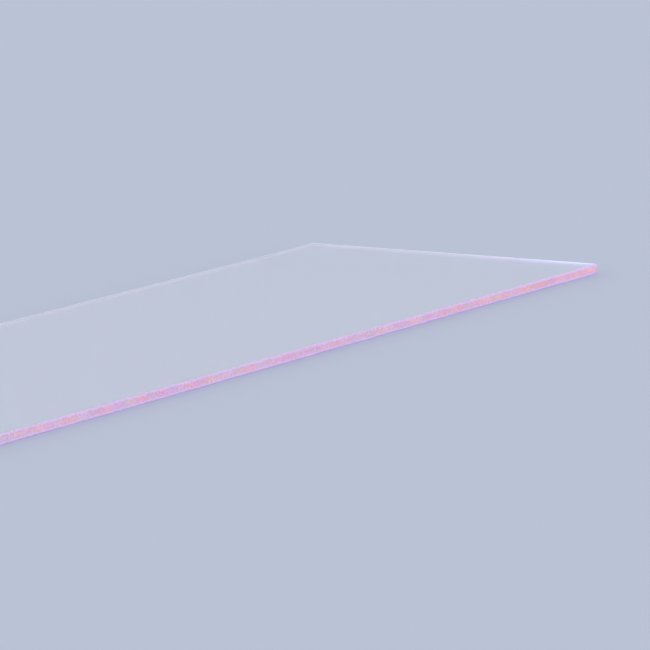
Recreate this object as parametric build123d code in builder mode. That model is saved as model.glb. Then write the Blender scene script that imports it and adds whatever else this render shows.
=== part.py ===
from build123d import *
import os

# Quartz plate: one flat sheet of clear fused quartz, sawn from the slab, polished
# on both faces and ground matt on its four sides. It lies on its lower face.
# The origin is the middle of the lower face. +X runs along the length, +Y across
# the width and +Z up through the thickness. All sizes are in millimetres.

# Driving sizes
plate_length = 500.0  # along X
plate_width = 100.0  # along Y
plate_thickness = 3.0  # along Z, between the two polished faces
corner_radius = 1.2  # the four upright corners, eased on the wheel
arris_leg = 0.6  # the 45 degree bevel between each face and the ground sides


with BuildPart() as quartz_plate:
    # The sawn blank: the outline seen from above, carried up through the thickness
    with BuildSketch(Plane.XY) as outline:
        RectangleRounded(plate_length, plate_width, corner_radius)
    extrude(amount=plate_thickness)

    # The arrises: both polished faces lose their sharp rim all the way round,
    # which leaves a flat ground land at half height on each side
    polished_faces = quartz_plate.faces().filter_by(Axis.Z)
    chamfer(polished_faces.edges(), length=arris_leg)

quartz_plate.part.label = "quartz_plate"

os.makedirs("parts", exist_ok=True)
export_step(quartz_plate.part, "parts/quartz_plate.step")
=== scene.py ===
# %% [markdown]
# The quartz plate, finished over its fixed frame
#
# The object is one flat sheet of clear fused quartz. Its two large faces are polished,
# and its four sides are ground matt, with a narrow bevel, the arris, along every rim.
# Almost all that the eye catches on such a plate is its rim: the clear sheet only
# borrows the light round it. So this lesson spends its work on the ground sides and
# the arrises, and then lets the polished faces be as plain as they really are.
#
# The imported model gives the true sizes. It is loaded first, and nothing here moves it.

import bpy
import numpy as np
from mathutils import Matrix, Vector


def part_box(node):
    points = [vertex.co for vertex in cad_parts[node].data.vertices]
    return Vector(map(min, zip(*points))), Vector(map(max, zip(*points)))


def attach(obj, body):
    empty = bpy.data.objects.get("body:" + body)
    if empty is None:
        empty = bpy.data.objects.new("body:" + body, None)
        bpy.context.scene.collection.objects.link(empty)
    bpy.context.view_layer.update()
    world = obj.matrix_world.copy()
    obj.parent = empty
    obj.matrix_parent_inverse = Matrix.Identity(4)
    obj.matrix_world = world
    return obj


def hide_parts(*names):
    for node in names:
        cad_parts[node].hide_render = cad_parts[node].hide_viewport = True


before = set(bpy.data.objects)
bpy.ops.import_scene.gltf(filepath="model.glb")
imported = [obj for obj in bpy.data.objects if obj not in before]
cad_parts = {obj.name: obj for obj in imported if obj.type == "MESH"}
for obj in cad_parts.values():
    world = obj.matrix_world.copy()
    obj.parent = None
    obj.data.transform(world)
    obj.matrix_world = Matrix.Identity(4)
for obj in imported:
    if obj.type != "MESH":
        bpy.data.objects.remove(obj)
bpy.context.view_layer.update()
MM = 0.001
plate_low, plate_high = (np.array(corner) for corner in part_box("quartz_plate"))
length, width, thickness = plate_high - plate_low
print("plate in mm:", np.round((plate_high - plate_low) / MM, 3))

# %% [markdown]
# Colours are picked as the hex values that a picture editor shows. Blender mixes light
# in linear values, so one function turns each hex value into linear red, green, blue.

# %% Colours


def linear(hex_colour, alpha=1.0):
    """sRGB hex to linear: below 0.04045 divide by 12.92, above it the 2.4 power curve."""
    srgb = np.array([int(hex_colour[i : i + 2], 16) / 255 for i in (1, 3, 5)])
    flat = np.where(srgb <= 0.04045, srgb / 12.92, ((srgb + 0.055) / 1.055) ** 2.4)
    return (*flat.tolist(), alpha)


pale_floor = "#BAC2D6"
print("floor in linear light:", np.round(linear(pale_floor)[:3], 3))

# %% [markdown]
# The camera stands low and far off with a long lens, so the long side of the plate runs
# nearly straight out of the picture at the lower left, and its rim stays almost as thick
# at the far end as at the near end. The right-hand corner of the upper face is the one
# point that the picture shows sharply, so the camera is hung from that corner: from its
# place in the picture, its distance, and the two angles of the view.

# %% Camera
picture_side = 650.0
focal_pixels = 6580.0
corner_pixel = (598.3, 263.65)
corner_distance = 2.033  # metres
view_drop = np.radians(8.61)  # below level
view_turn = np.radians(28.07)  # from +X towards +Y

forward = Vector((np.cos(view_turn) * np.cos(view_drop),
                  np.sin(view_turn) * np.cos(view_drop),
                  -np.sin(view_drop)))
rightward = forward.cross(Vector((0.0, 0.0, 1.0))).normalized()
upward = rightward.cross(forward)

across_px = (corner_pixel[0] - picture_side / 2) / focal_pixels
down_px = (corner_pixel[1] - picture_side / 2) / focal_pixels
near_corner = Vector((plate_high[0], plate_low[1], plate_high[2]))
camera_place = near_corner - corner_distance * (forward + across_px * rightward - down_px * upward)

camera_data = bpy.data.cameras.new("long_lens")
camera_data.sensor_width = 36.0
camera_data.lens = focal_pixels / picture_side * camera_data.sensor_width
camera_data.clip_start = 0.05
camera_data.clip_end = 60.0
camera = bpy.data.objects.new("camera", camera_data)
bpy.context.collection.objects.link(camera)
axes = Matrix((rightward, upward, -forward)).transposed().to_4x4()
camera.matrix_world = Matrix.Translation(camera_place) @ axes
bpy.context.scene.camera = camera
print("lens mm:", round(camera_data.lens, 1), "camera height m:", round(camera_place.z, 3))

# %% [markdown]
# A material can be clicked together in the node editor, but then nobody can read how it
# was made. In a script each node is one line: its kind, its settings, and what feeds it.
# One small function does that for every kind of node.

# %% One function for nodes


def add_node(tree, kind, settings=None, **feeds):
    """Adds a node of that kind. Settings are its properties. Each feed is named for its
    input, with underscores for spaces, or n and the input's number where several inputs
    share a name, and it is a value or the output that is linked to the input."""
    node = tree.nodes.new(kind)
    for name, value in (settings or {}).items():
        setattr(node, name, value)
    for name, value in feeds.items():
        key = int(name[1:]) if name[0] == "n" and name[1:].isdigit() else name.replace("_", " ")
        socket = node.inputs[key]
        if isinstance(value, bpy.types.NodeSocket):
            tree.links.new(value, socket)
        else:
            socket.default_value = value
    return node


def new_material(name):
    """An empty node material and its output node."""
    material = bpy.data.materials.new(name)
    material.use_nodes = True
    material.node_tree.nodes.clear()
    output = add_node(material.node_tree, "ShaderNodeOutputMaterial")
    return material, material.node_tree, output


print("helpers ready:", add_node.__name__, "and", new_material.__name__)

# %% [markdown]
# The plate lies on a pale sweep of matt card that runs on to the horizon. A plain is
# enough for that: one square, so large that its edge is never seen. It starts a hair
# below the plate, because two faces at one height would flicker through each other.

# %% Floor
floor_drop = 0.05 * MM
floor_reach = 40.0
floor_height = plate_low[2] - floor_drop
floor_corners = [(x * floor_reach, y * floor_reach, floor_height)
                 for x, y in ((-1, -1), (1, -1), (1, 1), (-1, 1))]
floor_mesh = bpy.data.meshes.new("pale_floor")
floor_mesh.from_pydata(floor_corners, [], [(0, 1, 2, 3)])
floor = bpy.data.objects.new("pale_floor", floor_mesh)
bpy.context.collection.objects.link(floor)

card, card_tree, card_output = new_material("matt_card")
card_matt = add_node(card_tree, "ShaderNodeBsdfDiffuse", Color=linear(pale_floor))
card_tree.links.new(card_matt.outputs["BSDF"], card_output.inputs["Surface"])
floor_mesh.materials.append(card)
print("floor side in m:", 2 * floor_reach)

# %% [markdown]
# The sides of a flat plate are upright, and an even sky lights upright faces only half
# as well as the card. A light tent does better: its walls are bright and its roof is dim.
# The strength runs straight with the height of the direction, and a level card then gets
# two thirds of the roof's level and one third of the walls' level.
#
# One place in the tent is brighter, a broad soft window in front of the long side, which
# gives the plate its shadow on the card. A lamp would cast the same shadow, but from
# behind, the polished face would mirror that lamp as a hard white patch. The card gets
# the window's level times the height of its middle times the squared sine of its half
# width. So the levels follow from the shares of the light that they give the card. The
# shares add up to one, at which a colour shows as it is written.

# %% How bright the tent is
window_share = 0.12
tent_share = 1.0 - window_share
roof_level = 0.35
wall_level = 3 * tent_share - 2 * roof_level

window_middle = Vector((-0.35, -0.87, 0.36)).normalized()
window_full = np.radians(15.0)  # the window is full up to here from its middle
window_rim = np.radians(35.0)  # and has faded out here
window_half = np.radians(26.7)  # a hard rim here would give the same light
window_level = window_share / (window_middle.z * np.sin(window_half) ** 2)
print("levels of walls, roof and window:", np.round([wall_level, roof_level, window_level], 2))

# %% [markdown]
# The light round a scene is a material too, the world's, and its coordinates are the
# direction in which a ray leaves. The direction's height gives the strength of walls and
# roof. How straight it points at the window's middle is one number, the cosine of the
# angle between them, and that number fades the window in.

# %% The light of the tent
tent = bpy.data.worlds.new("light_tent")
tent.use_nodes = True
tent_tree = tent.node_tree
tent_tree.nodes.clear()
heading = add_node(tent_tree, "ShaderNodeTexCoord")
heading_parts = add_node(tent_tree, "ShaderNodeSeparateXYZ", Vector=heading.outputs["Generated"])
up_the_tent = heading_parts.outputs["Z"]
walls_to_roof = add_node(tent_tree, "ShaderNodeMapRange", Value=up_the_tent,
                         To_Min=wall_level, To_Max=roof_level)
to_window = add_node(tent_tree, "ShaderNodeVectorMath", {"operation": "DOT_PRODUCT"},
                     n0=heading.outputs["Generated"], n1=window_middle)
window = add_node(tent_tree, "ShaderNodeMapRange", {"interpolation_type": "SMOOTHSTEP"},
                  Value=to_window.outputs["Value"], From_Min=np.cos(window_rim),
                  From_Max=np.cos(window_full), To_Max=window_level)
brightness = add_node(tent_tree, "ShaderNodeMath", {"operation": "ADD"},
                      n0=walls_to_roof.outputs["Result"], n1=window.outputs["Result"])
lighting = add_node(tent_tree, "ShaderNodeBackground", Color=(1, 1, 1, 1),
                    Strength=brightness.outputs[0])
print("cosines at which the window fades:", np.round(np.cos([window_rim, window_full]), 3))

# %% [markdown]
# Clear glass has no colour of its own and shows what stands behind it and above it. So
# the camera, a mirror image and a look through glass get another picture of the tent:
# the colour of the card at the horizon, which hides where the card ends, growing paler
# overhead. The plate then lies on the card as a faint veil. Only light that has met no
# matt surface yet gets that picture, so what the glass shows never lights the scene.

# %% What the glass shows of the tent
overhead = "#F1F4FA"
veil_height = 0.4

paler = add_node(tent_tree, "ShaderNodeMapRange", {"interpolation_type": "SMOOTHSTEP"},
                 Value=up_the_tent, From_Min=0.0, From_Max=veil_height)
shown = add_node(tent_tree, "ShaderNodeMix", {"data_type": "RGBA"},
                 n0=paler.outputs["Result"], n6=linear(pale_floor), n7=linear(overhead))
showing = add_node(tent_tree, "ShaderNodeBackground", Color=shown.outputs[2], Strength=1.0)
paths = add_node(tent_tree, "ShaderNodeLightPath")
seen = add_node(tent_tree, "ShaderNodeMath", {"operation": "MAXIMUM"},
                n0=paths.outputs["Is Camera Ray"], n1=paths.outputs["Is Glossy Ray"])
seen_in_glass = add_node(tent_tree, "ShaderNodeMath", {"operation": "MAXIMUM"},
                         n0=seen.outputs[0], n1=paths.outputs["Is Transmission Ray"])
scattered = add_node(tent_tree, "ShaderNodeMath", {"operation": "MAXIMUM"},
                     n0=paths.outputs["Diffuse Depth"], n1=paths.outputs["Is Diffuse Ray"])
not_scattered = add_node(tent_tree, "ShaderNodeMath", {"operation": "LESS_THAN"},
                         n0=scattered.outputs[0], n1=0.5)
is_shown = add_node(tent_tree, "ShaderNodeMath", {"operation": "MULTIPLY"},
                    n0=seen_in_glass.outputs[0], n1=not_scattered.outputs[0])
either = add_node(tent_tree, "ShaderNodeMixShader", n0=is_shown.outputs[0],
                  n1=lighting.outputs[0], n2=showing.outputs[0])
add_node(tent_tree, "ShaderNodeOutputWorld", Surface=either.outputs[0])
bpy.context.scene.world = tent
print("horizon and overhead:", pale_floor, overhead)

# %% [markdown]
# The far sides of such a plate show only as fine lines, and the line of the right-hand
# end is lavender, brightest near the front corner, and fades along it. A small lamp just
# beyond that corner does this. It lights nothing but the plate, so the card stays even,
# and neither the camera nor a mirror image shows the lamp itself. A point lamp's energy
# is 4 pi squared times the square of its distance, for a level of one.

# %% Corner lamp
corner_lamp_level = 0.7
corner_lamp_offset = Vector((38.0, 8.0, -1.4)) * MM
corner_lamp_data = bpy.data.lights.new("corner_lamp", "POINT")
corner_lamp_data.shadow_soft_size = 1.5 * MM
corner_lamp_data.color = linear("#BEAEFF")[:3]
corner_lamp_data.energy = corner_lamp_level * 4 * np.pi ** 2 * corner_lamp_offset.length_squared
corner_lamp = bpy.data.objects.new("corner_lamp", corner_lamp_data)
corner_lamp.location = near_corner + corner_lamp_offset
corner_lamp.visible_camera = False
corner_lamp.visible_glossy = False
bpy.context.collection.objects.link(corner_lamp)
lit_by_corner_lamp = bpy.data.collections.new("lit_by_corner_lamp")
corner_lamp.light_linking.receiver_collection = lit_by_corner_lamp
print("corner lamp power in W:", round(corner_lamp_data.energy, 4))

# %% [markdown]
# Light that enters a clear plate bounces between its two faces many times before it
# finds a ground side and gets out. Cut short, those paths turn the sides dark, so the
# renderer follows them to the end. It also usually blurs what matt light sees through
# glass, which would leave the card under the plate too dark, so that is switched off.

# %% How far light is followed
tracing = bpy.context.scene.cycles
bounces_in_glass = 48
matt_bounces = 16
tracing.max_bounces = bounces_in_glass
tracing.transmission_bounces = bounces_in_glass
tracing.glossy_bounces = bounces_in_glass
tracing.diffuse_bounces = matt_bounces
tracing.blur_glossy = 0.0
print("bounces in the glass:", bounces_in_glass, "and off matt surfaces:", matt_bounces)

# %% [markdown]
# The outline of the plate is a rectangle with eased corners. A ring of points goes once
# round it. Each point has its place, its outward direction, and the length of side run
# so far, which later carries the grinding marks round the plate. A box with a Bevel
# modifier would give the same outline, but its points couldn't be moved one by one.

# %% The ring round the plate
corner_radius = 1.2 * MM
side_step = 0.5 * MM
corner_steps = 12


def ring_round_plate():
    """Four straight runs and four quarter turns, anticlockwise from the front left corner.
    A straight point is the run's start plus a share of its direction. A turn's point is
    the corner's centre plus the radius times (cos, sin) of its angle."""
    half = np.array([length / 2, width / 2]) - corner_radius
    places, outwards = [], []
    for quarter in range(4):
        facing = -np.pi / 2 + quarter * np.pi / 2
        out = np.array([np.cos(facing), np.sin(facing)])
        along = np.array([-out[1], out[0]])
        run = half @ np.abs(along)
        steps = int(round(2 * run / side_step))
        share = np.linspace(-run, run, steps, endpoint=False)
        side = half @ np.abs(out) * out + share[:, None] * along + corner_radius * out
        places.append(side)
        outwards.append(np.broadcast_to(out, side.shape))
        angle = facing + np.linspace(0.0, np.pi / 2, corner_steps, endpoint=False)
        turn = np.stack([np.cos(angle), np.sin(angle)], axis=1)
        centre = half @ np.abs(along) * along + half @ np.abs(out) * out
        places.append(centre + corner_radius * turn)
        outwards.append(turn)
    ring, outward = np.concatenate(places), np.concatenate(outwards)
    steps_run = np.linalg.norm(np.roll(ring, -1, axis=0) - ring, axis=1)
    return ring, outward, np.concatenate([[0.0], np.cumsum(steps_run)])


ring, outward, run_length = ring_round_plate()
ring_count = len(ring)
print("ring points:", ring_count, "round the plate in mm:", round(run_length[-1] / MM, 1))

# %% [markdown]
# The arris is eased by hand against a belt, so it never stays quite even: it wanders
# a little along its length, and here and there a flake no bigger than a grain of sand
# has left the sharp line. At the corners the hand lingers, and the lower arris gets
# longer. All of it is only a change of how far the bevel reaches in, so each arris is
# one number for every point of the ring.

# %% The two arrises
arris_leg = 0.6 * MM
wander = 0.05 * MM
wander_limit = 1.5  # times the wander
wave_count = 14
turns_of_waves = (9, 160)
flake_depth = 0.22 * MM
flake_depth_shares = (0.2, 1.0)
flake_half_width = 0.7 * MM
flake_width_shares = (0.45, 1.0)
flakes_per_rim = 90
longest_reach = 1.05 * MM
corner_span = 5.0 * MM
lower_corner_extra = 0.55 * MM
to_corner = np.hypot(*(np.array([length, width]) / 2 - np.abs(ring)).T)


def arris_reach(seed, corner_extra):
    """The nominal leg, plus a sum of slow waves that close on themselves round the ring,
    plus shallow scallops: each the depth times the root of one minus the squared share of
    its half width, which is a small bite out of the rim. Towards a corner the extra comes
    on as the square of the share of the way along the corner's span."""
    chance = np.random.default_rng(seed)
    turn = 2 * np.pi * run_length[:-1] / run_length[-1]
    waves = chance.integers(*turns_of_waves, wave_count)
    phases = chance.uniform(0, 2 * np.pi, wave_count)
    slow = np.sin(turn[:, None] * waves + phases).sum(axis=1) / wave_count ** 0.5
    places = chance.uniform(0, run_length[-1], flakes_per_rim)
    halves = flake_half_width * chance.uniform(*flake_width_shares, flakes_per_rim)
    depths = flake_depth * chance.uniform(*flake_depth_shares, flakes_per_rim) ** 2
    away = np.abs(run_length[:-1, None] - places)
    away = np.minimum(away, run_length[-1] - away) / halves
    bites = depths * np.sqrt(np.clip(1 - away ** 2, 0, 1))
    extra = corner_extra * np.clip(1 - to_corner / corner_span, 0, 1) ** 2
    uneven = wander * np.clip(slow, -wander_limit, wander_limit)
    return np.minimum(arris_leg + uneven + bites.max(axis=1) + extra, longest_reach)


top_arris = arris_reach(seed=11, corner_extra=0.0)
bottom_arris = arris_reach(seed=29, corner_extra=lower_corner_extra)
print("arris in mm:", np.round([top_arris.min() / MM, top_arris.max() / MM], 3))

# %% [markdown]
# The section of the rim is carried round the ring. It starts on the lower face, goes out
# over the lower arris, up the ground land, back over the upper arris and on to the upper
# face. Each row of the section is an inset from the outermost line and a height. A belt
# gives under the hand, so an arris is not a dead flat bevel but a little crowned. With
# that and the longer arris at the corners, a corner looks like a small rounded nose.

# %% The rim as one grid
face_margin = 1.1 * MM  # a little more than the longest reach
arris_rows = 7
land_rows = 5
crown = 0.12 * MM


def rim_rows():
    """Rows of (inset, height), each an array round the ring. An arris row goes from
    (reach, face) to (0, reach from the face) and swells outwards by the crown times four
    times share times one minus share, half way round its diagonal. A land row has no
    inset and shares out the height between the two arrises."""
    rows = [(np.full(ring_count, face_margin), np.zeros(ring_count))]
    shares = np.linspace(0, 1, arris_rows)
    swells = crown / 2 ** 0.5 * 4 * shares * (1 - shares)
    for share, swell in zip(shares, swells):
        rows.append((bottom_arris * (1 - share) - swell, bottom_arris * share - swell))
    land = thickness - top_arris - bottom_arris
    for share in np.linspace(0, 1, land_rows + 2)[1:-1]:
        rows.append((np.zeros(ring_count), bottom_arris + land * share))
    for share, swell in zip(shares, swells):
        rows.append((top_arris * share - swell, thickness - top_arris * (1 - share) + swell))
    rows.append((np.full(ring_count, face_margin), np.full(ring_count, thickness)))
    return rows


rows = rim_rows()
inset = np.array([row[0] for row in rows])
height = np.array([row[1] for row in rows])
flat = ring[None] - inset[..., None] * outward[None]
grid = np.concatenate([flat, (height + plate_low[2])[..., None]], axis=2)
print("rim rows:", len(rows), "rim points:", grid.shape[0] * grid.shape[1])

# %% [markdown]
# The grid becomes faces in whole arrays. The rim's faces join each row to the next and
# each ring point to its neighbour, with the last joined to the first. Each face carries
# the number of its finish, so one mesh can be polished, ground and eased in its places.

# %% Faces of the rim
POLISHED, LOWER_ARRIS, LAND, UPPER_ARRIS = 0, 1, 2, 3


def rim_faces(first_row, last_row):
    """Quads between neighbouring rows and ring points, turned so that they face outwards."""
    here = np.arange(ring_count)
    after = (here + 1) % ring_count
    quads = [np.stack([row * ring_count + here, row * ring_count + after,
                       (row + 1) * ring_count + after, (row + 1) * ring_count + here], axis=1)
             for row in range(first_row, last_row)]
    return np.concatenate(quads)


last = len(rows) - 1
land_start, land_end = arris_rows, arris_rows + land_rows + 1
sections = [(0, 1, POLISHED), (1, land_start, LOWER_ARRIS), (land_start, land_end, LAND),
            (land_end, last - 1, UPPER_ARRIS), (last - 1, last, POLISHED)]
quads = np.concatenate([rim_faces(a, b) for a, b, _ in sections])
finish_of = np.concatenate([np.full((b - a) * ring_count, kind) for a, b, kind in sections])
print("rim quads:", len(quads))

# %% [markdown]
# The two polished faces are dead flat. They could be filled with a grid as well, but a
# single face with the ring as its outline is just as flat, and mirrors without a ripple.
# With those two faces the mesh is closed, which clear glass needs: light has to know
# when it goes in and when it comes out. The edge between an arris and a polished face
# stays sharp, and everything else on the rim is shaded as one soft surface.

# %% The closed mesh
piece_name = "quartz_plate_finished"
lower_face = np.arange(ring_count)[::-1]
upper_face = last * ring_count + np.arange(ring_count)
polygons = quads.tolist() + [lower_face.tolist(), upper_face.tolist()]

plate_mesh = bpy.data.meshes.new(piece_name)
plate_mesh.from_pydata(grid.reshape(-1, 3).tolist(), [], polygons)
finish_of = np.append(finish_of, [POLISHED, POLISHED]).astype(np.int32)
plate_mesh.polygons.foreach_set("material_index", finish_of)
plate_mesh.polygons.foreach_set("use_smooth", finish_of != POLISHED)

edge_ends = np.empty(2 * len(plate_mesh.edges), np.int32)
plate_mesh.edges.foreach_get("vertices", edge_ends)
edge_rows = edge_ends.reshape(-1, 2) // ring_count
break_rows = [1, last - 1]
sharp = (edge_rows[:, 0] == edge_rows[:, 1]) & np.isin(edge_rows[:, 0], break_rows)
plate_mesh.attributes.new("sharp_edge", "BOOLEAN", "EDGE").data.foreach_set("value", sharp)
plate_mesh.update()
print("faces:", len(plate_mesh.polygons), "sharp edges:", int(sharp.sum()))

# %% [markdown]
# The grinding wheel runs along the sides, so its marks follow the side and turn with it
# at the corners. A pattern on object coordinates would run straight on there. A UV map
# in real metres lets it turn: U is the run round the plate, V the way up the section.

# %% The map along the rim
section_step = np.hypot(np.diff(inset, axis=0), np.diff(height, axis=0))
section_run = np.concatenate([np.zeros((1, ring_count)), np.cumsum(section_step, axis=0)])
row_of, point_of = quads // ring_count, quads % ring_count
quad_u = np.stack([run_length[point_of[:, 0]], run_length[point_of[:, 0] + 1],
                   run_length[point_of[:, 0] + 1], run_length[point_of[:, 0]]], axis=1)
quad_v = section_run[row_of, point_of]
face_uv = np.concatenate([grid[0, ::-1, :2], grid[last, :, :2]])
uv = np.concatenate([np.stack([quad_u, quad_v], axis=2).reshape(-1, 2), face_uv])
plate_mesh.uv_layers.new(name="along_rim").uv.foreach_set("vector", uv.ravel())
print("map runs to mm:", np.round(uv.max(axis=0) / MM, 2))

# %% [markdown]
# The belt that eases the arrises also touches the four upright corners. An attribute on
# the mesh says how far each point belongs to that eased skin: nothing in the middle of a
# side, and all of it at the rims and on the corners. A mask painted by hand would do the
# same, but here the mask is a formula of the height and of the way to the next corner.
# The band without it lies a little above half height, so more of the lower rim turns lavender.

# %% How far each point is eased
land_middle = 1.71 * MM
land_half = 0.44 * MM
rim_half = 1.14 * MM
corner_start = 1.6 * MM
corner_full = 0.4 * MM


def soft_step(value, low, high):
    """Zero up to low, one from high on, and between them 3 t squared minus 2 t cubed."""
    share = np.clip((value - low) / (high - low), 0, 1)
    return share * share * (3 - 2 * share)


rimward = soft_step(np.abs(height - land_middle), land_half, rim_half)
cornerward = 1 - soft_step(to_corner, corner_full, corner_start)
eased = np.maximum(rimward, cornerward[None])
plate_mesh.attributes.new("eased", "FLOAT", "POINT").data.foreach_set("value", eased.ravel())
print("share of points eased:", round(float(eased.mean()), 3))

# %% [markdown]
# Fused quartz is a glass with nothing in it but silica, so it is clearer than window
# glass and has no green in its depth. Its index of refraction is 1.458. Flame or pitch
# polished, it mirrors the room at a low angle and lets the rest through. The Principled
# shader does this with full transmission, and the plate's closed mesh gives the depth.

# %% Polished fused quartz
quartz_index = 1.458


def polished_fused_quartz():
    """Clear refracting glass with a polished skin."""
    material, tree, output = new_material("fused_quartz_polished")
    skin = add_node(tree, "ShaderNodeBsdfPrincipled", Base_Color=linear("#FCFCFE"),
                    Roughness=0.01, IOR=quartz_index, Transmission_Weight=1.0)
    tree.links.new(skin.outputs["BSDF"], output.inputs["Surface"])
    return material


polished = polished_fused_quartz()
print("finish of the faces:", polished.name, "with an index of", quartz_index)

# %% [markdown]
# A diamond wheel leaves fused quartz matt: every grain of the wheel leaves a tiny pit.
# Seen from outside, those pits send much of the light straight back, so the side looks
# like a pale skin. Seen from inside, through the clear plate, the same pits scatter the
# light that falls on the side from behind, and the side glows faintly like a lit edge.
# A switch on the side that a ray comes from gives both looks to one surface.

# %% The two sides of a ground skin
glow_from_inside = "#F8F4FF"


def two_sided_skin(tree, outside, output):
    """The outside shader on the front of a face, and on its back a translucent white,
    which shows the light on the face's other side, scattered evenly."""
    facing = add_node(tree, "ShaderNodeNewGeometry")
    inside = add_node(tree, "ShaderNodeBsdfTranslucent", Color=linear(glow_from_inside))
    both = add_node(tree, "ShaderNodeMixShader", n0=facing.outputs["Backfacing"],
                    n1=outside.outputs["BSDF"], n2=inside.outputs["BSDF"])
    tree.links.new(both.outputs[0], output.inputs["Surface"])


print("ground skin from inside:", glow_from_inside)

# %% [markdown]
# Seen from outside, a side is pale pink. In the pink lie soft patches of lilac, grey,
# rose and cream, nearly a centimetre long and drawn out by the wheel. Over them the tone
# is painted from lilac to rose towards the right-hand end: painted light, a bluish light
# reflected on the left part that fades towards the right. One noise could fade between two
# colours, but the real patches have many. So the noise, plus the painted drift, picks a
# pink from a ramp of five, and its own red, green and blue tinge that pink a little.

# %% Pinks in patches
patch_run = 9.0 * MM
patch_rise = 5.0 * MM
patch_start = (43.86, 11.4, 0.0)  # where in the endless noise the map starts, in patches
patch_share = 0.6
tinge_share = 0.25
# Painted light: the drift paints a bluish reflected light on the left part of the side.
painted_drift_start = 100.0 * MM
painted_drift_most = 0.44
painted_drift_least = 0.18
rim_pinks = {0.28: "#C9A4C4", 0.40: "#C9AAC1", 0.50: "#CBA5C0", 0.62: "#D3A4B6", 0.80: "#D7A3A9"}


def patchy_pink(tree, along_rim):
    """The patch noise times its share plus the painted light drift along X is the place on
    the ramp, and the same noise's red, green and blue are overlaid on the pink that is found
    there."""
    place = add_node(tree, "ShaderNodeTexCoord")
    axes = add_node(tree, "ShaderNodeSeparateXYZ", Vector=place.outputs["Object"])
    patch_size = add_node(tree, "ShaderNodeMapping", Vector=along_rim,
                          Scale=(1 / patch_run, 1 / patch_rise, 1.0), Location=patch_start)
    patches = add_node(tree, "ShaderNodeTexNoise", {"noise_dimensions": "2D"},
                       Vector=patch_size.outputs["Vector"], Scale=1.0, Detail=1.5, Roughness=0.5)
    # Painted light drift: lilac on the left part, rose towards the right-hand end.
    drift = add_node(tree, "ShaderNodeMapRange", Value=axes.outputs["X"],
                     From_Min=painted_drift_start, From_Max=length / 2,
                     To_Min=painted_drift_least, To_Max=painted_drift_most)
    tone = add_node(tree, "ShaderNodeMath", {"operation": "MULTIPLY_ADD"},
                    n0=patches.outputs["Fac"], n1=patch_share, n2=drift.outputs["Result"])
    pinks = add_node(tree, "ShaderNodeValToRGB", Fac=tone.outputs[0])
    stops = pinks.color_ramp.elements
    stops.remove(stops[-1])
    for position, tint in rim_pinks.items():
        stops.new(position).color = linear(tint)
    stops.remove(stops[0])
    tinged = add_node(tree, "ShaderNodeMix", {"data_type": "RGBA", "blend_type": "OVERLAY"},
                      n0=tinge_share, n6=pinks.outputs["Color"], n7=patches.outputs["Color"])
    return tinged.outputs[2]


print("pinks on the ramp:", list(rim_pinks.values()))

# %% [markdown]
# Where the side is eased it turns lavender, and the attribute on the mesh mixes that in.
# Over it all lies a fine grey grain, from a second noise. The pits of a real wheel are a
# tenth of its size, but then they would melt together in the picture, so the grain is
# drawn about a millimetre long.

# %% The tint of the rim
grain_run = 1.0 * MM
grain_rise = 0.7 * MM
grain_share = 0.34


def rim_tint(tree, lavender, painted_light_lift):
    """The patchy pink, painted paler or darker by the lift as painted light, turns to the
    lavender by the share of easing, and the grain is overlaid on it. Also gives the map along the
    rim."""
    where = add_node(tree, "ShaderNodeUVMap", {"uv_map": "along_rim"})
    pink = patchy_pink(tree, where.outputs["UV"])
    lifted = add_node(tree, "ShaderNodeHueSaturation", Color=pink, Value=painted_light_lift)
    eased_here = add_node(tree, "ShaderNodeAttribute", {"attribute_name": "eased"})
    tint = add_node(tree, "ShaderNodeMix", {"data_type": "RGBA"},
                    n0=eased_here.outputs["Fac"], n6=lifted.outputs["Color"], n7=linear(lavender))
    grain_size = add_node(tree, "ShaderNodeMapping", Vector=where.outputs["UV"],
                          Scale=(1 / grain_run, 1 / grain_rise, 1.0))
    grain = add_node(tree, "ShaderNodeTexNoise", {"noise_dimensions": "2D"},
                     Vector=grain_size.outputs["Vector"], Scale=1.0, Detail=2.0)
    grained = add_node(tree, "ShaderNodeMix", {"data_type": "RGBA", "blend_type": "OVERLAY"},
                       n0=grain_share, n6=tint.outputs[2], n7=grain.outputs["Fac"])
    return grained.outputs[2], where.outputs["UV"]


print("grain in mm:", np.round([grain_run / MM, grain_rise / MM], 2))

# %% [markdown]
# The land is as the diamond wheel left it: quite matt, with fine marks along the side.
# The marks are too fine for the mesh, so a stretched noise bends the light instead, in a
# bump that is drawn a few times coarser than real marks, because finer ones wouldn't show.

# %% Ground fused quartz
mark_run = 5.0 * MM
mark_rise = 0.25 * MM
mark_depth = 0.03 * MM


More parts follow.
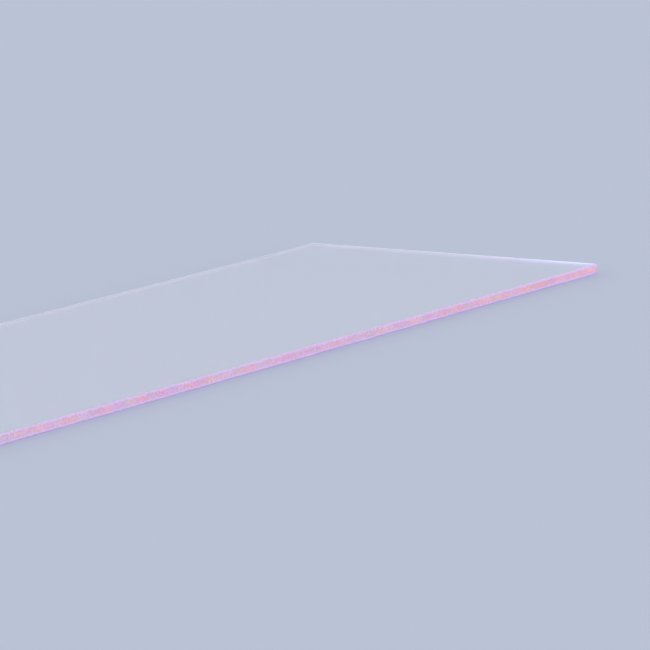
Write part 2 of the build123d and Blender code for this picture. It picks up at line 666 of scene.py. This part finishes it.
def ground_fused_quartz():
    """Matt skin with a relief of fine noise stretched along the wheel's way."""
    material, tree, output = new_material("fused_quartz_wheel_ground")
    tint, along_rim = rim_tint(tree, lavender="#CBADDB", painted_light_lift=1.0)
    mark_size = add_node(tree, "ShaderNodeMapping", Vector=along_rim,
                         Scale=(1 / mark_run, 1 / mark_rise, 1.0))
    marks = add_node(tree, "ShaderNodeTexNoise", {"noise_dimensions": "2D"},
                     Vector=mark_size.outputs["Vector"], Scale=1.0, Detail=4.0, Roughness=0.6)
    relief = add_node(tree, "ShaderNodeBump", Height=marks.outputs["Fac"], Strength=0.6,
                      Distance=mark_depth)
    skin = add_node(tree, "ShaderNodeBsdfPrincipled", Base_Color=tint,
                    Roughness=0.62, IOR=quartz_index, Transmission_Weight=0.1,
                    Normal=relief.outputs["Normal"])
    two_sided_skin(tree, skin, output)
    return material


ground = ground_fused_quartz()
print("finish of the land:", ground.name, "with marks in mm:", round(mark_run / MM, 2))

# %% [markdown]
# The arris is eased with a finer belt, so it is satin rather than matt, and it carries
# the pink of the land on to the lavender of the rim. One finish could serve both arrises,
# but the lower one faces the card and gets less light. So its colour is painted paler, as
# painted light against that shade, the upper one a little darker, and both rims look alike.

# %% Belt-eased arrises


def eased_fused_quartz(name, lavender, painted_light_lift):
    """Satin skin with the rim's tint, painted paler or darker for the light that the rim gets."""
    material, tree, output = new_material(name)
    tint, _ = rim_tint(tree, lavender, painted_light_lift)
    skin = add_node(tree, "ShaderNodeBsdfPrincipled", Base_Color=tint,
                    Roughness=0.42, IOR=quartz_index, Transmission_Weight=0.15)
    two_sided_skin(tree, skin, output)
    return material


# Painted light: the lower arris is painted paler against the shade it gets facing the card, the
# upper one a little darker.
lower_eased = eased_fused_quartz("fused_quartz_eased_lower", lavender="#DEC4EA", painted_light_lift=1.16)
upper_eased = eased_fused_quartz("fused_quartz_eased_upper", lavender="#C9ABDA", painted_light_lift=0.97)
finish_by_number = {POLISHED: polished, LOWER_ARRIS: lower_eased,
                    LAND: ground, UPPER_ARRIS: upper_eased}
for number in sorted(finish_by_number):
    plate_mesh.materials.append(finish_by_number[number])
print("finishes by number:", [finish.name for finish in plate_mesh.materials])

# %% [markdown]
# The finished mesh rides on the body of the plain plate and stands for it. The plain one
# stays hidden, because it is still what the physics touches.

# %% Hand the plate to the frame
plate = bpy.data.objects.new(piece_name, plate_mesh)
bpy.context.collection.objects.link(plate)
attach(plate, "root")
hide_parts("quartz_plate")
lit_by_corner_lamp.objects.link(plate)
print("triangles:", sum(len(face.vertices) - 2 for face in plate_mesh.polygons))

# %% [markdown]
# Blender usually bends colours for a film look. Standard shows them as they are.

# %% Colours shown as they are
bpy.context.scene.view_settings.view_transform = "Standard"
